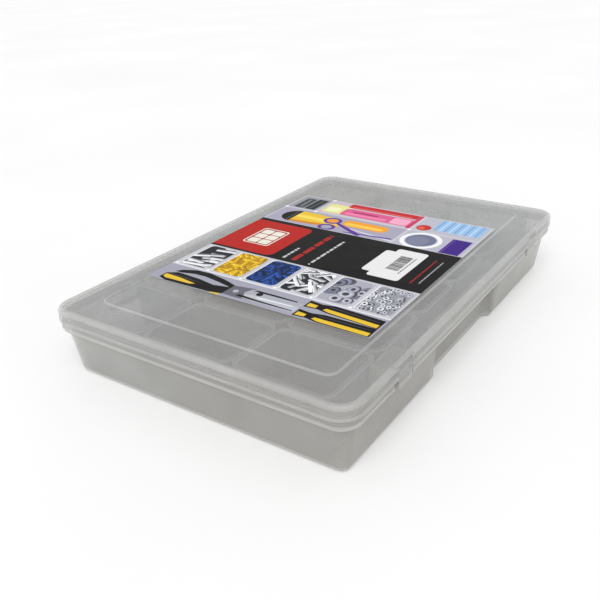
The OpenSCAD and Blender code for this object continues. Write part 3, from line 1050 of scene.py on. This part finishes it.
def draw_sewing(art, x0, y0, x1, y1):
    """Right-hand cells: knife, scissors and tape in one column, cases and thread in the next."""
    split, shelf = x0 + 27.0, -23.0
    art.rect(x0, y0, x1, y1, WHITE)
    cell = (166, 162, 182)
    art.window = (x0 + 0.6, shelf + 1, split - 1, y1 - 1)
    art.rect(*art.window, cell)
    body = x0 + 3.2
    art.poly([(body, 57)] + arc(body + 10, 57, 10, 180, 0, 12), BLACK)
    art.poly([(body, 57), (body + 20, 57), (body + 20, 44), (body + 17, 24), (body + 4, 20), (body + 1, 40)],
             YELLOW)
    art.poly([(body + 9, 57), (body + 14, 57), (body + 13, 24), (body + 8, 22)], (246, 214, 92))
    art.poly([(body, 57), (body + 3, 57), (body + 6, 22), (body + 4, 20), (body + 1, 40)], (206, 132, 36))
    art.bar(body + 10, 59.5, 17, 0.8, 0, (92, 92, 96))
    art.round_rect(body + 9, -12, body + 19.5, 21, 4.5, (236, 158, 42))
    art.round_rect(body + 11, -9, body + 15, 19, 1.9, (248, 200, 84))
    violet = (92, 54, 150)
    for x, y, r in ((body + 13.4, 29, 5.6), (body + 1.8, 27, 5.2)):
        art.disc(x, y, r, violet, 20, 1.2)
        art.disc(x, y, r - 2.0, (226, 150, 60) if x > body + 9 else cell, 16, 1.2)
    art.bar(body + 4.4, 12, 26, 3.6, 62, violet, 0.7)
    art.bar(body + 2.6, -6, 34, 2.6, 80, (206, 208, 218), 0.4)
    art.bar(body + 0.8, -4, 34, 2.0, 96, violet, 0.5)
    art.window = (x0 + 0.6, y0 + 1, split - 1, shelf - 1)
    art.rect(*art.window, (180, 180, 194))
    art.disc(x0 + 13, -38, 13.4, (238, 238, 242), 32)
    art.disc(x0 + 13, -38, 10.6, (196, 196, 206), 32)
    art.disc(x0 + 13, -38, 9.8, (112, 116, 142), 32)
    art.disc(x0 + 11.6, -36.4, 7.0, (124, 128, 152), 24)
    art.rect(x0 - 1, y0 + 3, x0 + 24.6, y0 + 15.6, (62, 34, 128))
    art.rect(x0 - 1, y0 + 13.8, x0 + 24.6, y0 + 14.6, (98, 70, 160))
    art.window = (split + 1, 51, x1 - 1, y1 - 1)
    art.rect(*art.window, (150, 152, 160))
    art.round_rect(split + 2, 62, split + 22, 70, 2, (70, 74, 78))
    art.round_rect(split + 2, 53, split + 23, 61, 1, (44, 48, 50))
    art.bar(split + 12, 66, 16, 1.4, 4, (128, 134, 138))
    art.bar(split + 12, 57, 18, 1.0, -3, (96, 102, 104))
    art.window = (split + 1, shelf + 1, x1 - 1, 49)
    art.rect(*art.window, (196, 182, 192))
    art.round_rect(split + 3, 30, split + 20, 48, 3, (222, 222, 150))
    art.round_rect(split + 6, 36, split + 14, 46, 2, (236, 236, 190))
    art.round_rect(split + 3, -20, split + 16, 33, 2.4, (214, 92, 142))
    art.round_rect(split + 5, -2, split + 9, 30, 1.6, (232, 128, 168))
    art.round_rect(split + 9.6, 6, split + 12.4, 26, 1.2, (172, 52, 104))
    art.round_rect(split + 4, -18, split + 15, -5, 2.0, (240, 168, 192))
    art.round_rect(split + 18, -19, x1 - 1.4, 34, 1.6, (190, 40, 48))
    art.round_rect(split + 19, -16, split + 20.6, 31, 0.7, (222, 92, 92))
    art.rect(split + 1, shelf + 1, x1 - 1, shelf + 4, (196, 60, 96))
    art.window = (split + 1, y0 + 1, x1 - 1, shelf - 1)
    art.rect(*art.window, (184, 184, 196))
    art.disc(split + 7, -30, 5.0, (188, 50, 42), 20)
    art.disc(split + 5.8, -28.8, 2.4, (222, 96, 76), 14)
    art.round_rect(split + 6, y0 + 3, x1 - 1.6, -36, 2.6, (150, 188, 226))
    for k in range(9):
        foot = y0 + 5 + k * 3.4
        art.rect(split + 6, foot, x1 - 1.6, y0 + 6.1 + k * 3.4, (186, 214, 240) if k % 2 else (118, 160, 206))
    art.window = None
    for x, y in ((split, 50), (split, shelf), (split, y1 - 0.8), (x1 - 0.8, 50)):
        art.disc(x, y, 1.6, (214, 214, 222), 10)
        art.disc(x, y, 0.9, (246, 246, 250), 10)


def sheet_from_art(name, art, bottom, top):
    """A closed thin sheet whose upper face carries the artwork in the colour attribute ink."""
    points, faces = [], []
    for outline, _ in art.shapes:
        faces.append(list(range(len(points), len(points) + len(outline))))
        points += [Vector(p) for p in outline]
    flat, _, cells, _, _, sources = delaunay_2d_cdt(points, [], faces, 1, MERGE, True)
    bm = bmesh.new()
    ink = bm.loops.layers.float_color.new("ink")
    verts = [bm.verts.new((p.x, p.y, top)) for p in flat]
    for cell, owners in zip(cells, sources):
        if not owners:
            continue
        try:
            face = bm.faces.new([verts[i] for i in cell])
        except ValueError:
            continue
        colour = srgb(*art.shapes[max(owners)][1])
        for corner in face.loops:
            corner[ink] = colour
    loose = [v for v in bm.verts if not v.link_faces]
    bmesh.ops.delete(bm, geom=loose, context="VERTS")
    rim = [e for e in bm.edges if len(e.link_faces) == 1]
    side = bmesh.ops.extrude_edge_only(bm, edges=rim)["geom"]
    for v in side:
        if isinstance(v, bmesh.types.BMVert):
            v.co.z = bottom
    foot_rim = [e for e in side if isinstance(e, bmesh.types.BMEdge)]
    bmesh.ops.contextual_create(bm, geom=foot_rim)
    edge_colour = srgb(*PALE)
    for face in bm.faces:
        if min(v.co.z for v in face.verts) < top - 1e-6:
            for corner in face.loops:
                corner[ink] = edge_colour
    bmesh.ops.recalc_face_normals(bm, faces=bm.faces)
    return from_bmesh(name, bm)


def make_label():
    """The large print: tools, a column of cells, the dark band with its badge, and the sewing cells."""
    art = Print(seed=7)
    x0, y0, x1, y1 = LABEL_LOW.x, LABEL_LOW.y, LABEL_HIGH.x, LABEL_HIGH.y
    art.rect(x0, y0, x1, y1, WHITE)
    draw_tools(art, x0, y0, x0 + 21, y1)
    art.rect(x0 + 20.2, y0, x0 + 21.8, y1, (222, 222, 230))
    draw_hardware(art, x0 + 21.4, y0 + 0.4, x0 + 54.6, y1 - 2)
    draw_sewing(art, x0 + 110, y0 + 0.4, x1, y1)
    draw_band(art, x0 + 54.5, y0, x0 + 110, y1)
    label = sheet_from_art("label_print", art, LABEL_LOW.z + LABEL_GAP, LABEL_HIGH.z)
    finish_piece(label, "lid", FILM, "label_sticker")


def make_barcode():
    """White paper in two joined parts, with a row of bars and a row of small blocks."""
    art = Print(seed=3)
    x0, y0, x1, y1 = BARCODE_LOW.x, BARCODE_LOW.y, BARCODE_HIGH.x, BARCODE_HIGH.y
    paper = (226, 226, 226)
    art.round_rect(x0, y0, x1, y0 + 20, 2, paper)
    art.round_rect(x0 + 5, y1 - 14, x1 - 5, y1, 2, paper)
    at, end = x0 + 12, x0 + 33
    while at < end:
        wide = art.chance.choice((0.3, 0.3, 0.6, 0.9))
        art.rect(at, y0 + 6, at + wide, y0 + 14, (44, 44, 48))
        at += wide + art.chance.choice((0.25, 0.25, 0.4))
    dashes(art, x0 + 9, y0 + 4.2, 24, 0.9, 1.0, (120, 120, 124))
    barcode = sheet_from_art("barcode_print", art, BARCODE_LOW.z + BARCODE_GAP, BARCODE_HIGH.z)
    finish_piece(barcode, "lid", PAPER, "barcode_sticker")


# ---------------------------------------------------------------- build

make_lid()
make_base()
for tray_node in TRAYS:
    make_tray(tray_node)
for latch_node, latch_side in LATCHES.items():
    make_latch(latch_node, latch_side)
make_label()
make_barcode()
for pin in ("hinge_pin_left", "hinge_pin_right"):
    frame["nodes"][pin].data.materials.clear()
    frame["nodes"][pin].data.materials.append(STEEL)

# ---------------------------------------------------------------- stage, light and camera


def make_floor():
    """A pale table top, a hair below the box's underside so that the two faces never share a plane."""
    half, drop_m = 6.0, 0.0003
    bm = bmesh.new()
    bmesh.ops.create_grid(bm, x_segments=1, y_segments=1, size=half)
    bmesh.ops.translate(bm, verts=bm.verts, vec=(0.0, 0.0, -drop_m))
    floor = from_bmesh("floor", bm)
    material, nodes, shader = new_material("studio_floor")
    where = nodes.add("ShaderNodeTexCoord").outputs["Object"]
    tone = nodes.remap(nodes.noise(where, 4.0, 2.0), 0.3, 0.7, 0.88, 0.91)
    nodes.feed(nodes.grey(tone), shader.inputs["Base Color"])
    nodes.fill(shader, {"Roughness": 0.7})
    floor.data.materials.append(material)


def soft_sun(name, towards_light, spread, strength):
    """A broad even light; towards_light points from the box to the lamp."""
    light = bpy.data.lights.new(name, "SUN")
    light.angle = math.radians(spread)
    light.energy = strength
    lamp = bpy.data.objects.new(name, light)
    lamp.location = Vector(towards_light)
    lamp.rotation_euler = Vector(towards_light).to_track_quat("Z", "Y").to_euler()
    bpy.context.scene.collection.objects.link(lamp)


def make_light():
    """A white surround and one broad light from the front left."""
    world = bpy.data.worlds.new("studio")
    world.use_nodes = True
    surround = world.node_tree.nodes["Background"]
    surround.inputs["Color"].default_value = (1.0, 1.0, 1.0, 1.0)
    surround.inputs["Strength"].default_value = 0.66
    bpy.context.scene.world = world
    soft_sun("softbox", (-0.58, -0.32, 0.75), 50, 2.0)
    bpy.context.scene.view_settings.view_transform = "Standard"


def make_camera():
    """Looks down on the front left corner from close by."""
    camera = bpy.data.cameras.new("camera")
    camera.lens = 42.15
    camera.sensor_width = 36.0
    camera.shift_x = -0.0333
    camera.clip_start = 0.01
    eye = bpy.data.objects.new("camera", camera)
    azimuth, elevation, roll = math.radians(-56.12), math.radians(26.54), math.radians(-1.85)
    back = Vector((math.sin(azimuth) * math.cos(elevation), -math.cos(azimuth) * math.cos(elevation),
                   math.sin(elevation)))
    eye.location = (-0.33345, -0.21222, 0.20545)
    eye.rotation_mode = "QUATERNION"
    eye.rotation_quaternion = (-back).to_track_quat("-Z", "Y") @ Quaternion((0, 0, 1), roll)
    bpy.context.scene.collection.objects.link(eye)
    bpy.context.scene.camera = eye


make_floor()
make_light()
make_camera()
bpy.context.scene.cycles.transparent_max_bounces = 32
